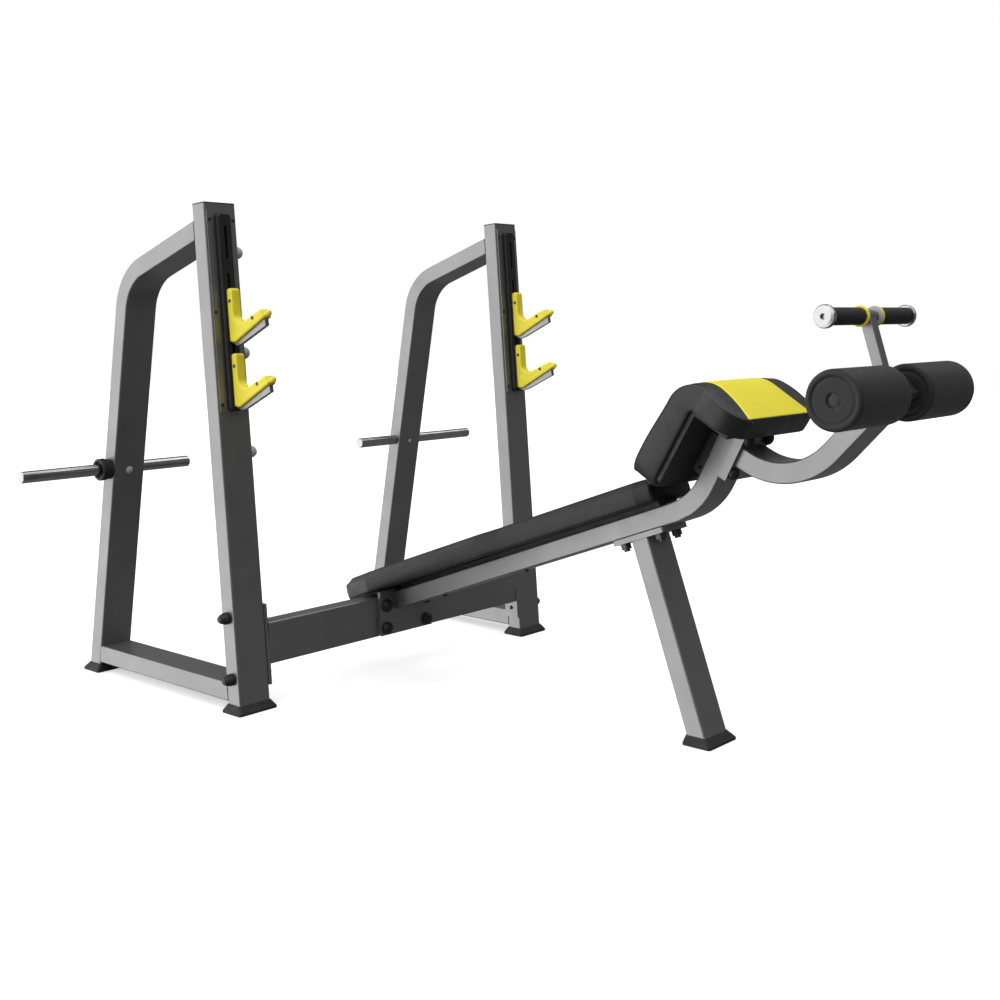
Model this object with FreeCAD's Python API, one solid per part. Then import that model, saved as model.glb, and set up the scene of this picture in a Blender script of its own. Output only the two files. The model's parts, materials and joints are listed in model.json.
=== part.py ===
"""Olympic decline weight bench: rack frame, inclined bench, leg rollers and handle.

Millimetres.  +Z is up, +X runs from the bar rack towards the leg rollers, +Y is the left side.
The geometry is laid out from the point where the front faces of the rack posts would meet the
floor; save() then moves every piece so that the origin is under the middle of the object.
"""
import FreeCAD, Part
import os
from math import asin, atan, atan2, cos, degrees, pi, radians, sin, tan

V = FreeCAD.Vector
SIDES = {"left": 1, "right": -1}

# ---- driving dimensions -------------------------------------------------------------------
TUBE_WIDE = 100.0           # main frame tube, across the bench
TUBE_DEEP = 50.0            # main frame tube, in the side view
TUBE_WALL = 3.0
TUBE_EDGE = 5.0             # corner radius of the tubes
PLUG_LIP = 3.0              # end plugs: the lip that covers the tube's end
PLUG_DEPTH = 12.0

FRAME_Y = 566.0             # centre of each side frame
POST_LEAN = degrees(atan(0.0834))
POST_HEIGHT = 1324.0        # top front edge of a rack post
REAR_LEAN = degrees(atan(0.1765))
REAR_FRONT_X0 = -654.1      # rear tube's front face at floor level
TOP_RUN_SLOPE = 19.5
TOP_RUN_Z = 1251.6          # centre of the top run where it meets the post
REAR_BEND_R = 142.0
BASE_Z = (27.4, 77.4)
FOOT_HEIGHT = 22.0
FOOT_FLARE = 13.0           # at the sole
FOOT_LIP = 2.5              # at the top
FOOT_SOLE = 6.0
FOOT_CORNER = 7.0
PAST_CUT = 60.0             # how far tubes are drawn past the planes that trim them

BEAM_X = (-64.0, -14.0)
BEAM_Z = (111.0, 225.0)
END_PLATE_THICK = 10.0
END_PLATE_Z = (60.0, 274.0)
FRAME_BOLT_Z = (90.0, 251.0)
FRAME_CAP = [(0, 0), (16, 0), (16, 9), (12, 22), (8, 28), (0, 30)]      # (radius, height)
INNER_CAP = {"left": (6.0, 5.0, 2.0), "right": (17.0, 15.0, 6.0)}       # radius, height, skirt

HORN_R = 16.0
HORN_NECK_R = 15.0          # where it passes through the tube and the collar
HORN_SHOULDER = 1.0         # from the face that the neck goes into to the full radius
HORN_Z = 601.0
HORN_Y = (350.0, 887.0)     # from the frame's middle
COLLAR_R = 31.0
COLLAR_LONG = 34.0
COLLAR_NECK_R = 28.5        # next to the tube
COLLAR_NECK = 15.0
COLLAR_RECESS = (23.0, 6.0)         # radius and depth of the recess in its outer face
SET_SCREW_DROP = 6.0        # below the horn
SET_SCREWS = {"right": (11.0, 5.0, 1.0), "left": (7.0, 2.5, 1.0)}       # radius, height, skirt
STUD_Z = (675.0, 935.0, 1197.0)
STUD_CAP = (16.0, 30.0, 14.0)

RAIL_BASE_THICK = 3.0       # heights along the rail are measured up the post from the floor
RAIL_BASE_HALF = 45.0
RAIL_HALF = 22.0
RAIL_FRONT = 17.0
RAIL_SPAN = (789.5, 1301.0)
RAIL_END_R = 12.0
SLOT_TOP = 1267.0
SLOT_PITCH = 121.2
SLOT_COUNT = 4
SLOT_LONG = 86.0
SLOT_WIDE = 8.0
RAIL_SCREW_HEIGHTS = (808.0, 1046.5, 1285.0)
RAIL_SCREW_Y = 38.0
RAIL_SCREW_CAP = (5.0, 3.0, 1.0)

SLIDE_GAP = 0.3             # hook plate to rail
HOOK_DROP = 167.0           # lower hook below the upper one
HOOK_HALF = 14.0
HOOK_PLATE_HALF = 13.0
HOOK_PLATE_THICK = 3.0
HOOK_PLATE_SPAN = (968.0, 1103.0)
HOOK_STUDS = {"upper": (976.0, 1097.0), "lower": (843.0, 877.0)}
HOOK_FACE = RAIL_FRONT + SLIDE_GAP
LINER_BACK = HOOK_FACE + HOOK_PLATE_THICK
# (out of the post, up the post, corner radius) round the liner
LINER_OUTLINE = [(LINER_BACK, 967.5, 5.0), (40.5, 966.0, 5.0), (163.0, 1021.0, 4.0),
                 (149.0, 1042.0, 4.0), (42.0, 1004.5, 25.0), (42.0, 1105.0, 8.0),
                 (LINER_BACK, 1105.0, 8.0)]
LIP_NECK = (150.0, 1028.5)
LIP_BALL = (166.0, 1030.5)
LIP_NECK_R = 5.0
LIP_BALL_R = 8.5
# (out of the post, up the post) round the wedge that carries the lip
WEDGE_OUTLINE = [(HOOK_FACE + 1, 966.0), (40.0, 957.5), (58.0, 962.0), (158.0, 1000.2),
                 (156.0, 1018.0), (41.0, 965.0), (HOOK_FACE + 1, 980.0)]
WEDGE_HALF = 6.0
HOOK_SCREWS = [(31.5, 1072.6), (117.4, 1022.5)]
HOOK_SCREW_CAP = (4.8, 2.0, 0.8)

BENCH_SLOPE = degrees(atan(0.368))
BENCH_Z0 = 212.45           # bench tube's centre line above the layout origin
BENCH_TURN_X = 1012.7       # where the bench tube's centre line turns up
BENCH_RISE = 63.5           # slope of its upturned end
BENCH_BEND_R = 159.0
BENCH_END_RUN = 214.5       # from the turning point to the upper end
FLANGE_Y = 108.0
FLANGE_Z = (113.0, 246.0)
FLANGE_THICK = 10.0
FLANGE_CAP = (18.0, 16.0, 7.0)
FLANGE_CAP_Y = 82.0
FLANGE_CAP_Z = (134.0, 200.0)

LEG_FOOT_X = 1032.8         # leg's centre line at floor level
LEG_PLATE_LONG = 156.0
LEG_PLATE_WIDE = 110.0
LEG_PLATE_THICK = 13.0
LEG_BOLT_AT = (55.0, 35.0)          # from the middle of the plate, along and across
LEG_BOLT = (24.0, 14.0, 8.0, 20.0)  # across the flats, head, shank radius, shank length

SPACER_HALF = 40.0          # strip between the bench tube and the back pad
SPACER_THICK = 12.0
SPACER_RUN = (22.0, 975.0)  # distances along the bench slope
PAD_THICK = 60.0
PAD_BEVEL = 14.0
BOARD_THICK = 11.0
BOARD_INSET = 22.0
BACK_PAD_RUN = (-136.0, 994.0)
BACK_PAD_HALF = 130.0
PAD_BOLT_RUN = (150.0, 470.0, 790.0)
PAD_BOLT_R = 4.0
PAD_BOLT_HEAD = (13.0, 6.0)         # across the flats, height

KNEE_LINE = [(968.0, 635.0), (1077.0, 825.0), (1190.0, 760.0)]      # under the knee pad
KNEE_BEND_R = 13.0
KNEE_PAD_THICK = 64.0
KNEE_PAD_HALF = 192.0
KNEE_BOARD_HALF = 165.0
KNEE_PAD_TAPER = ((58.0, 45.0), (50.0, 40.0))       # length and depth at the low and front ends
KNEE_BOARD_TAPER = ((70.0, 45.0), (60.0, 40.0))
BRACKET_WALL = 4.0
BRACKET_HALF = 45.0
BRACKET_DEEP = 45.0
BRACKET_RUN = (48.0, 156.0)         # along the knee pad's low leg
BRACKET_HOLE = (18.0, 15.0, 5.0)    # from its low end, from the board, radius
BRACKET_SCREW_INSET = (35.0, 20.0)
BRACKET_SCREW_Y = 24.0
BRACKET_SCREW_CAP = (6.0, 3.5, 1.0)

ARM_FLANGE_THICK = 12.0
ARM_FLANGE_HALF = 62.0
ARM_FLANGE_RUN = (-27.0, 100.0)     # along the bench tube's upturned end from ARM_FLANGE_ZERO
ARM_FLANGE_ZERO = (1090.8, 685.7)
ARM_CAP = (15.5, 17.0, 8.0)
ARM_CAP_RUN = (-5.0, 83.0)
ARM_CAP_Y = 44.0
ARM_JOINT_RUN = 39.0
ARM_END_SLOPE = 47.0
ARM_BEND_R = 177.0
ARM_PAST_AXLE = 28.0
ROLLER_X = 1482.0
ROLLER_Z = 868.0
ROLLER_R = 64.0
ROLLER_Y = (51.5, 287.0)
ROLLER_ROUND = 13.5
ROLLER_RECESS = 9.0
AXLE_R = 12.5
CORE_R = 14.75
RUN_CLEARANCE = 0.05

HANDLE_X = 1414.0
HANDLE_Z = 1035.0
HANDLE_HALF = 204.0
HANDLE_BAR_R = 10.0
CAP_PROUD = 10.0            # end cap beyond the end of the bar
STEM_LEAN = 0.32            # how far the stem goes forward for each unit down
STEM_DEEP = 25.0
STEM_WIDE = 30.0
STEM_LONG = 190.0           # height of the part that is drawn before the arm trims it
SLEEVE_PROUD = 15.0         # the sleeve's reach beyond the stem, on each side
SLEEVE_WALL = 3.0
WASHER_Y = (30.0, 34.0)
WASHER_R = 22.0
COLLAR_Y = (34.0, 40.0)
HANDLE_COLLAR_R = 23.0
GRIP_R = 19.0
GRIP_Y = (40.0, 190.0)
HANDLE_CAP = [(0, 0), (23, 0), (25, 2), (25, 8), (23, 11), (17, 13), (12, 14), (7, 14),
              (7, 6), (0, 6)]       # (radius, height)

BACK_EDGE_X = REAR_FRONT_X0 - TUBE_DEEP / cos(radians(REAR_LEAN)) - FOOT_FLARE
ORIGIN_X = (BACK_EDGE_X + ROLLER_X + ROLLER_R) / 2      # layout X of the part's origin


# ---- general helpers ----------------------------------------------------------------------
def save(node, *solids):
    """Write one node, as one solid or as a group of separate solids."""
    shape = solids[0] if len(solids) == 1 else Part.makeCompound(list(solids))
    shape = shape.copy()
    shape.translate(V(-ORIGIN_X, 0, 0))
    shape.exportStep("parts/" + node + ".step")


def box(x, y, z):
    """Box from three (low, high) pairs."""
    low = V(x[0], y[0], z[0])
    return Part.makeBox(x[1] - x[0], y[1] - y[0], z[1] - z[0], low)


def rod_y(x, z, y, radius):
    """Cylinder along Y between the two values of y."""
    return Part.makeCylinder(radius, y[1] - y[0], V(x, y[0], z), V(0, 1, 0))


def beyond(point, normal):
    """A very large solid that fills the space beyond a plane."""
    return Part.makeCylinder(4000, 8000, V(*point), V(*normal))


def turned(shape, slope, x=0.0, z=0.0):
    """Shape tilted in the side view so that its own X axis rises by slope, then moved."""
    shape = shape.copy()
    shape.rotate(V(0, 0, 0), V(0, 1, 0), -slope)
    shape.translate(V(x, 0, z))
    return shape


def mirrored(shape):
    """Shape reflected to the other side of the bench."""
    return shape.mirror(V(0, 0, 0), V(0, 1, 0))


def shifted(shape, x=0.0, y=0.0, z=0.0):
    shape = shape.copy()
    shape.translate(V(x, y, z))
    return shape


def cross_line(p, slope_p, q, slope_q):
    """Point where two sloping lines of the side view meet."""
    tp, tq = tan(radians(slope_p)), tan(radians(slope_q))
    x = (q[1] - p[1] + tp * p[0] - tq * q[0]) / (tp - tq)
    return x, p[1] + tp * (x - p[0])


def unit(p, q):
    step = V(q[0] - p[0], 0, q[1] - p[1])
    return step.normalize()


def corner_arc(before, corner, after, radius):
    """Tangent points and middle of the arc that rounds one corner of a side-view path."""
    a, b = unit(corner, before), unit(corner, after)
    half = a.getAngle(b) / 2
    tip = V(corner[0], 0, corner[1])
    reach = radius / tan(half)
    inward = (a + b).normalize()
    middle = tip + inward * (radius / sin(half) - radius)
    return tip + a * reach, middle, tip + b * reach


def path_edges(points, radii):
    """Straight edges joined by tangent arcs, in the XZ plane."""
    edges = []
    start = V(points[0][0], 0, points[0][1])
    for i, radius in enumerate(radii):
        first, middle, last = corner_arc(points[i], points[i + 1], points[i + 2], radius)
        edges.append(Part.makeLine(start, first))
        edges.append(Part.Arc(first, middle, last).toShape())
        start = last
    edges.append(Part.makeLine(start, V(points[-1][0], 0, points[-1][1])))
    return edges


def offset_points(points, distance):
    """The same path moved sideways; positive moves it to the left of its direction."""
    normals = []
    for p, q in zip(points, points[1:]):
        along = unit(p, q)
        normals.append(V(-along.z, 0, along.x))
    moved = []
    for i, p in enumerate(points):
        before, after = normals[max(i - 1, 0)], normals[min(i, len(normals) - 1)]
        step = (before + after) * (distance / (1 + before.dot(after)))
        moved.append((p[0] + step.x, p[1] + step.z))
    return moved


def turn_signs(points):
    """+1 where a path turns left and -1 where it turns right."""
    signs = []
    for p, q, r in zip(points, points[1:], points[2:]):
        a, b = unit(p, q), unit(q, r)
        signs.append(1 if a.x * b.z - a.z * b.x > 0 else -1)
    return signs


def side_path(points, radii, distance):
    """Edges of a path moved sideways, with radii that keep it parallel."""
    signs = turn_signs(points)
    new_radii = [r - s * distance for r, s in zip(radii, signs)]
    return path_edges(offset_points(points, distance), new_radii)


def band(points, radii, left, right, half_width):
    """A flat band in the side view, as thick as from left to right, extruded across Y."""
    one = side_path(points, radii, left)
    two = side_path(points, radii, -right)
    ends = [Part.makeLine(one[0].Vertexes[0].Point, two[0].Vertexes[0].Point)]
    ends.append(Part.makeLine(one[-1].Vertexes[-1].Point, two[-1].Vertexes[-1].Point))
    wire = Part.Wire(Part.__sortEdges__(one + two + ends))
    face = Part.Face(wire)
    face.translate(V(0, -half_width, 0))
    return face.extrude(V(0, 2 * half_width, 0))


def flat_edges(solid, shortest):
    """Edges that lie in one Y plane and are longer than shortest."""
    return [e for e in solid.Edges if e.BoundBox.YLength < 1e-6 and e.Length > shortest]


def frame_tube(points, radii=(), wide=TUBE_WIDE, deep=TUBE_DEEP):
    """Rectangular tube, bent in the side view and open at both ends."""
    outer = band(points, list(radii), deep / 2, deep / 2, wide / 2)
    outer = outer.makeFillet(TUBE_EDGE, flat_edges(outer, deep + 1))
    room = deep / 2 - TUBE_WALL
    inner = band(points, list(radii), room, room, wide / 2 - TUBE_WALL)
    return outer.cut(inner)


def prism(outline, half_width):
    """Side-view polygon extruded across Y about the middle."""
    corners = [V(x, -half_width, z) for x, z in outline]
    face = Part.Face(Part.makePolygon(corners + corners[:1]))
    return face.extrude(V(0, 2 * half_width, 0))


def plan_prism(outline, z):
    """Plan polygon of (x, y) corners extruded between two heights."""
    corners = [V(x, y, z[0]) for x, y in outline]
    face = Part.Face(Part.makePolygon(corners + corners[:1]))
    return face.extrude(V(0, 0, z[1] - z[0]))


def turned_part(profile):
    """Solid of revolution about Z from (radius, height) corners that start and end on the axis."""
    corners = [V(r, 0, h) for r, h in profile]
    face = Part.Face(Part.makePolygon(corners + corners[:1]))
    return face.revolve(V(0, 0, 0), V(0, 0, 1), 360)


def dome(radius, height, skirt):
    """Domed bolt cap that stands on Z = 0: a short cylinder under part of a sphere."""
    rise = height - skirt
    sphere = (radius ** 2 + rise ** 2) / (2 * rise)
    half = asin(radius / sphere) / 2
    bulge = V(sphere * sin(half), 0, height - sphere + sphere * cos(half))
    arc = Part.Arc(V(radius, 0, skirt), bulge, V(0, 0, height)).toShape()
    edges = [Part.makeLine(V(0, 0, 0), V(radius, 0, 0)),
             Part.makeLine(V(radius, 0, 0), V(radius, 0, skirt)),
             arc,
             Part.makeLine(V(0, 0, height), V(0, 0, 0))]
    return Part.Face(Part.Wire(edges)).revolve(V(0, 0, 0), V(0, 0, 1), 360)


def end_edges(solid):
    """Edges that lie in one Y plane."""
    return [e for e in solid.Edges if e.BoundBox.YLength < 1e-6]


def aimed(shape, point, direction):
    """Shape that stands on Z = 0 put at a point and turned to a direction."""
    shape = shape.copy()
    shape.Placement = FreeCAD.Placement(V(*point), FreeCAD.Rotation(V(0, 0, 1), V(*direction)))
    return shape


def hexagon(across, height):
    """Hexagonal bolt head or nut on Z = 0."""
    r = across / 2 / cos(pi / 6)
    corners = [V(r * cos(k * pi / 3), r * sin(k * pi / 3), 0) for k in range(6)]
    return Part.Face(Part.makePolygon(corners + corners[:1])).extrude(V(0, 0, height))


def end_plug(centre, slope):
    """Plastic plug in the end of a frame tube; slope is the way the open end faces."""
    room_y, room_z = TUBE_WIDE / 2 - TUBE_WALL, TUBE_DEEP / 2 - TUBE_WALL
    lip = box((0, PLUG_LIP), (-TUBE_WIDE / 2, TUBE_WIDE / 2), (-TUBE_DEEP / 2, TUBE_DEEP / 2))
    lip = lip.makeFillet(TUBE_EDGE, [e for e in lip.Edges if e.BoundBox.XLength > 1])
    stem = box((-PLUG_DEPTH, 0), (-room_y, room_y), (-room_z, room_z))
    return turned(lip.fuse(stem), slope, *centre)


# ---- rack frame ---------------------------------------------------------------------------
def post_point(z, depth=0.0):
    """Layout X of a rack post at height z, as far behind its front face as depth."""
    lean = radians(POST_LEAN)
    return -z * tan(lean) - depth / cos(lean)


def post_top():
    """Middle of the tube's cut end under the plug of a rack post."""
    lean = radians(POST_LEAN)
    z = POST_HEIGHT - TUBE_DEEP / 2 * sin(lean) - PLUG_LIP * cos(lean)
    return post_point(z, TUBE_DEEP / 2), z


def make_posts():
    post = frame_tube([(post_point(-PAST_CUT, TUBE_DEEP / 2), -PAST_CUT), post_top()])
    post = post.cut(beyond((0, 0, FOOT_SOLE), (0, 0, -1)))
    for side, sign in SIDES.items():
        save(side + "_rack_post", shifted(post, y=sign * FRAME_Y))


def rear_centre_x(z):
    floor_x = REAR_FRONT_X0 - TUBE_DEEP / 2 / cos(radians(REAR_LEAN))
    return floor_x + z * tan(radians(REAR_LEAN))


def rear_path():
    """Centre line of a rear tube: down the top run, round the bend and down to the floor."""
    join = (post_point(TOP_RUN_Z, TUBE_DEEP), TOP_RUN_Z)
    bend = cross_line(join, TOP_RUN_SLOPE, (rear_centre_x(0.0), 0.0), 90 - REAR_LEAN)
    start = (join[0] + PAST_CUT, join[1] + PAST_CUT * tan(radians(TOP_RUN_SLOPE)))
    return [start, bend, (rear_centre_x(-PAST_CUT), -PAST_CUT)]


def make_side_frames():
    lean, rear_lean = radians(POST_LEAN), radians(REAR_LEAN)
    post_back = (post_point(0, TUBE_DEEP), 0, 0)
    ahead_of_post = beyond(post_back, (cos(lean), 0, sin(lean)))
    rear = frame_tube(rear_path(), [REAR_BEND_R])
    rear = rear.cut(ahead_of_post)
    rear = rear.cut(beyond((0, 0, FOOT_SOLE), (0, 0, -1)))
    rear = rear.cut(rod_y(rear_centre_x(HORN_Z), HORN_Z, (-TUBE_WIDE, TUBE_WIDE), HORN_NECK_R))
    base_z = sum(BASE_Z) / 2
    base = frame_tube([(REAR_FRONT_X0 - PAST_CUT, base_z), (PAST_CUT, base_z)])
    base = base.cut(ahead_of_post)
    base = base.cut(beyond((REAR_FRONT_X0, 0, 0), (-cos(rear_lean), 0, sin(rear_lean))))
    for side, sign in SIDES.items():
        save(side + "_rear_tube", shifted(rear, y=sign * FRAME_Y))
    save("base_tubes", *[shifted(base, y=sign * FRAME_Y) for sign in SIDES.values()])


def rounded_rectangle(x, half_y, z, radius):
    """Rounded rectangle in plan, as a wire at height z."""
    slab = box(x, (-half_y, half_y), (z, z + 1))
    slab = slab.makeFillet(radius, [e for e in slab.Edges if e.BoundBox.ZLength > 0.5])
    return min(slab.Faces, key=lambda face: face.CenterOfMass.z).OuterWire


def rubber_foot(centre_x, lean):
    """Flared rubber boot that closes the lower end of a leaning tube."""
    slant = tan(radians(lean))
    half_x = TUBE_DEEP / 2 / cos(radians(lean))
    wires = []
    for z, middle, flare in ((0.0, centre_x, FOOT_FLARE), (FOOT_SOLE, centre_x, FOOT_FLARE),
                             (FOOT_HEIGHT, centre_x + FOOT_HEIGHT * slant, FOOT_LIP)):
        x = (middle - half_x - flare, middle + half_x + flare)
        wires.append(rounded_rectangle(x, TUBE_WIDE / 2 + flare, z, FOOT_CORNER))
    foot = Part.makeLoft(wires, True, True)
    ends = [(centre_x + z * slant, z) for z in (-PAST_CUT, PAST_CUT)]
    tube = band(ends, [], TUBE_DEEP / 2, TUBE_DEEP / 2, TUBE_WIDE / 2)
    tube = tube.makeFillet(TUBE_EDGE, flat_edges(tube, TUBE_DEEP + 1))
    return foot.cut(tube.cut(beyond((0, 0, FOOT_SOLE), (0, 0, -1))))


def make_feet():
    post_foot = rubber_foot(post_point(0, TUBE_DEEP / 2), -POST_LEAN)
    rear_foot = rubber_foot(rear_centre_x(0), REAR_LEAN)
    feet = [rubber_foot(LEG_FOOT_X, -BENCH_SLOPE)]
    for sign in SIDES.values():
        feet.append(shifted(post_foot, y=sign * FRAME_Y))
        feet.append(shifted(rear_foot, y=sign * FRAME_Y))
    save("rubber_feet", *feet)


def make_end_plugs():
    post_plug = end_plug(post_top(), 90 + POST_LEAN)
    plugs = [shifted(post_plug, y=sign * FRAME_Y) for sign in SIDES.values()]
    plugs.append(end_plug(bench_points()[2], BENCH_RISE))
    plugs.append(end_plug(arm_points()[2], ARM_END_SLOPE))
    save("tube_end_plugs", *plugs)


def make_crossbeam():
    inner = FRAME_Y - TUBE_WIDE / 2
    reach = inner - END_PLATE_THICK
    beam = box(BEAM_X, (-reach, reach), BEAM_Z)
    beam = beam.makeFillet(TUBE_EDGE, [e for e in beam.Edges if e.BoundBox.YLength > 10])
    hollow_x = (BEAM_X[0] + TUBE_WALL, BEAM_X[1] - TUBE_WALL)
    hollow_z = (BEAM_Z[0] + TUBE_WALL, BEAM_Z[1] - TUBE_WALL)
    save("crossbeam", beam.cut(box(hollow_x, (-reach, reach), hollow_z)))

    low, high = END_PLATE_Z
    outline = [(post_point(low), low), (post_point(high), high),
               (post_point(high, TUBE_DEEP), high), (post_point(low, TUBE_DEEP), low)]
    plate = prism(outline, END_PLATE_THICK / 2)
    plates = [shifted(plate, y=s * (inner - END_PLATE_THICK / 2)) for s in SIDES.values()]
    save("crossbeam_end_plates", *plates)

    heads = []
    for side, sign in SIDES.items():
        for z in FRAME_BOLT_Z:
            place = (post_point(z, TUBE_DEEP / 2), sign * reach, z)
            heads.append(aimed(dome(*INNER_CAP[side]), place, (0, -sign, 0)))
    save("crossbeam_bolt_heads", *heads)


def make_bolt_caps():
    """Plastic caps over the bolts of the posts, of the bench's flange and of the arm's flange."""
    caps = []
    for sign in SIDES.values():
        for z in FRAME_BOLT_Z:
            place = (post_point(z, TUBE_DEEP / 2), sign * (FRAME_Y + TUBE_WIDE / 2), z)
            caps.append(aimed(turned_part(FRAME_CAP), place, (0, sign, 0)))
        for z in FLANGE_CAP_Z:
            place = (BEAM_X[1] + FLANGE_THICK, sign * FLANGE_CAP_Y, z)
            caps.append(aimed(dome(*FLANGE_CAP), place, (1, 0, 0)))
        for run in ARM_CAP_RUN:
            x, z = arm_flange_point(run, 2 * ARM_FLANGE_THICK)
            caps.append(aimed(dome(*ARM_CAP), (x, sign * ARM_CAP_Y, z), arm_flange_normal()))
    save("bolt_caps", *caps)


def horn(x, neck):
    """Turned bar through a rear tube, thinner along its neck; distances are from the middle."""
    bar = rod_y(x, HORN_Z, HORN_Y, HORN_R)
    bar = bar.makeChamfer(1.5, end_edges(bar))
    sleeve = rod_y(x, HORN_Z, neck, HORN_R + 1).cut(rod_y(x, HORN_Z, neck, HORN_NECK_R))
    return bar.cut(sleeve)


def horn_collar(x, inner_y):
    """Stepped rubber collar outside the tube, recessed round the horn."""
    outer_y = inner_y + COLLAR_LONG
    collar = rod_y(x, HORN_Z, (inner_y + COLLAR_NECK, outer_y), COLLAR_R)
    collar = collar.makeFillet(2.5, end_edges(collar))
    collar = collar.fuse(rod_y(x, HORN_Z, (inner_y, outer_y - 5), COLLAR_NECK_R))
    recess_r, recess_deep = COLLAR_RECESS
    collar = collar.cut(rod_y(x, HORN_Z, (outer_y - recess_deep, outer_y + 1), recess_r))
    return collar.cut(rod_y(x, HORN_Z, (inner_y - 1, outer_y + 1), HORN_NECK_R))


def make_horns():
    x = rear_centre_x(HORN_Z)
    inner, outer = FRAME_Y - TUBE_WIDE / 2, FRAME_Y + TUBE_WIDE / 2
    left = horn(x, (inner - HORN_SHOULDER, outer + HORN_SHOULDER))
    right = horn(x, (inner - HORN_SHOULDER, outer + COLLAR_LONG + HORN_SHOULDER))
    save("left_weight_horn", left)
    save("right_weight_horn", mirrored(right))
    save("right_horn_collar", mirrored(horn_collar(x, outer)))

    lean = radians(REAR_LEAN)
    z = HORN_Z - SET_SCREW_DROP
    screws = []
    for side, sign in SIDES.items():
        place = (REAR_FRONT_X0 + z * tan(lean), sign * FRAME_Y, z)
        screws.append(aimed(dome(*SET_SCREWS[side]), place, (cos(lean), 0, -sin(lean))))
    save("horn_set_screws", *screws)


def make_post_studs():
    """Round stops on the inner face of the right post."""
    studs = []
    for z in STUD_Z:
        place = (post_point(z, TUBE_DEEP / 2), -(FRAME_Y - TUBE_WIDE / 2), z)
        studs.append(aimed(dome(*STUD_CAP), place, (0, 1, 0)))
    save("right_post_studs", *studs)


# ---- bar hooks: X stands out of the post's front face and Z runs up it ----------------------
def on_post(shape, sign, drop=0.0):
    """Shape moved from hook coordinates to the front of one rack post."""
    return shifted(turned(shifted(shape, z=-drop), POST_LEAN), y=sign * FRAME_Y)


def rail_slot(x, top):
    """Upright slot with round ends through the rail."""
    half = SLOT_WIDE / 2
    low, high = top - SLOT_LONG + half, top - half
    slot = box(x, (-half, half), (low, high))
    for z in (low, high):
        slot = slot.fuse(Part.makeCylinder(half, x[1] - x[0], V(x[0], 0, z), V(1, 0, 0)))
    return slot


def make_rails():
    base = box((0, RAIL_BASE_THICK), (-RAIL_BASE_HALF, RAIL_BASE_HALF),
               (RAIL_SPAN[0], RAIL_SPAN[1] + 8))
    rail = box((RAIL_BASE_THICK, RAIL_FRONT), (-RAIL_HALF, RAIL_HALF), RAIL_SPAN)
    rail = rail.makeFillet(RAIL_END_R, [e for e in rail.Edges if e.BoundBox.XLength > 1])
    rail = rail.makeFillet(6.0, [e for e in rail.Edges if e.BoundBox.XMin > RAIL_FRONT - 0.1])
    for k in range(SLOT_COUNT):
        rail = rail.cut(rail_slot((0, RAIL_FRONT + 1), SLOT_TOP - k * SLOT_PITCH))
    screws = []
    for z in RAIL_SCREW_HEIGHTS:
        for y in (-RAIL_SCREW_Y, RAIL_SCREW_Y):
            screws.append(aimed(dome(*RAIL_SCREW_CAP), (RAIL_BASE_THICK, y, z), (1, 0, 0)))
    both = SIDES.values()
    save("rail_base_plates", *[on_post(base, s) for s in both])
    save("hook_rails", *[on_post(rail, s) for s in both])
    save("rail_screws", *[on_post(screw, s) for s in both for screw in screws])


def rounded_loop(corners):
    """Closed side-view outline from (x, z, radius) corners."""
    points = [(x, z) for x, z, radius in corners]
    arcs = []
    for i, (x, z, radius) in enumerate(corners):
        after = points[(i + 1) % len(points)]
        arcs.append(corner_arc(points[i - 1], points[i], after, radius))
    edges = []
    for i, (first, middle, last) in enumerate(arcs):
        edges.append(Part.Arc(first, middle, last).toShape())
        edges.append(Part.makeLine(last, arcs[(i + 1) % len(arcs)][0]))
    return Part.Wire(edges)


def hook_liner():
    """L-shaped plastic liner that cradles the bar and ends in a ball."""
    face = Part.Face(rounded_loop(LINER_OUTLINE))
    face.translate(V(0, -HOOK_HALF, 0))
    liner = face.extrude(V(0, 2 * HOOK_HALF, 0))
    liner = liner.makeChamfer(2.0, flat_edges(liner, 0.5))
    neck, ball = V(LIP_NECK[0], 0, LIP_NECK[1]), V(LIP_BALL[0], 0, LIP_BALL[1])
    along = ball - neck
    liner = liner.fuse(Part.makeCylinder(LIP_NECK_R, along.Length, neck, along))
    return liner.fuse(Part.makeSphere(LIP_BALL_R, ball)).removeSplitter()


def hook_bracket(stud_heights):
    """Steel plate on the rail, its studs in the slots, and the wedge under the liner's lip."""
    bracket = box((HOOK_FACE, LINER_BACK), (-HOOK_PLATE_HALF, HOOK_PLATE_HALF), HOOK_PLATE_SPAN)
    bracket = bracket.fuse(prism(WEDGE_OUTLINE, WEDGE_HALF).cut(hook_liner()))
    stud_r = SLOT_WIDE / 2 - SLIDE_GAP
    foot = RAIL_BASE_THICK + SLIDE_GAP
    for z in stud_heights:
        stud = Part.makeCylinder(stud_r, HOOK_FACE + 1 - foot, V(foot, 0, z), V(1, 0, 0))
        bracket = bracket.fuse(stud)
    return bracket.removeSplitter()


def make_hooks():
    liner = hook_liner()
    screws = []
    for x, z in HOOK_SCREWS:
        for sign in SIDES.values():
            place = (x, sign * HOOK_HALF, z)
            screws.append(aimed(dome(*HOOK_SCREW_CAP), place, (0, sign, 0)))
    for side, sign in SIDES.items():
        for level, drop in (("upper", 0.0), ("lower", HOOK_DROP)):
            hook = side + "_" + level + "_hook_"
            bracket = hook_bracket([z + drop for z in HOOK_STUDS[level]])
            save(hook + "liner", on_post(liner, sign, drop))
            save(hook + "bracket", on_post(bracket, sign, drop))
            save(hook + "screws", *[on_post(screw, sign, drop) for screw in screws])


# ---- bench: X runs along the bench tube and Z stands out of its centre line -----------------
def on_bench(shape):
    """Shape moved from bench coordinates to its place over the layout origin."""
    return turned(shape, BENCH_SLOPE, 0.0, BENCH_Z0)


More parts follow.
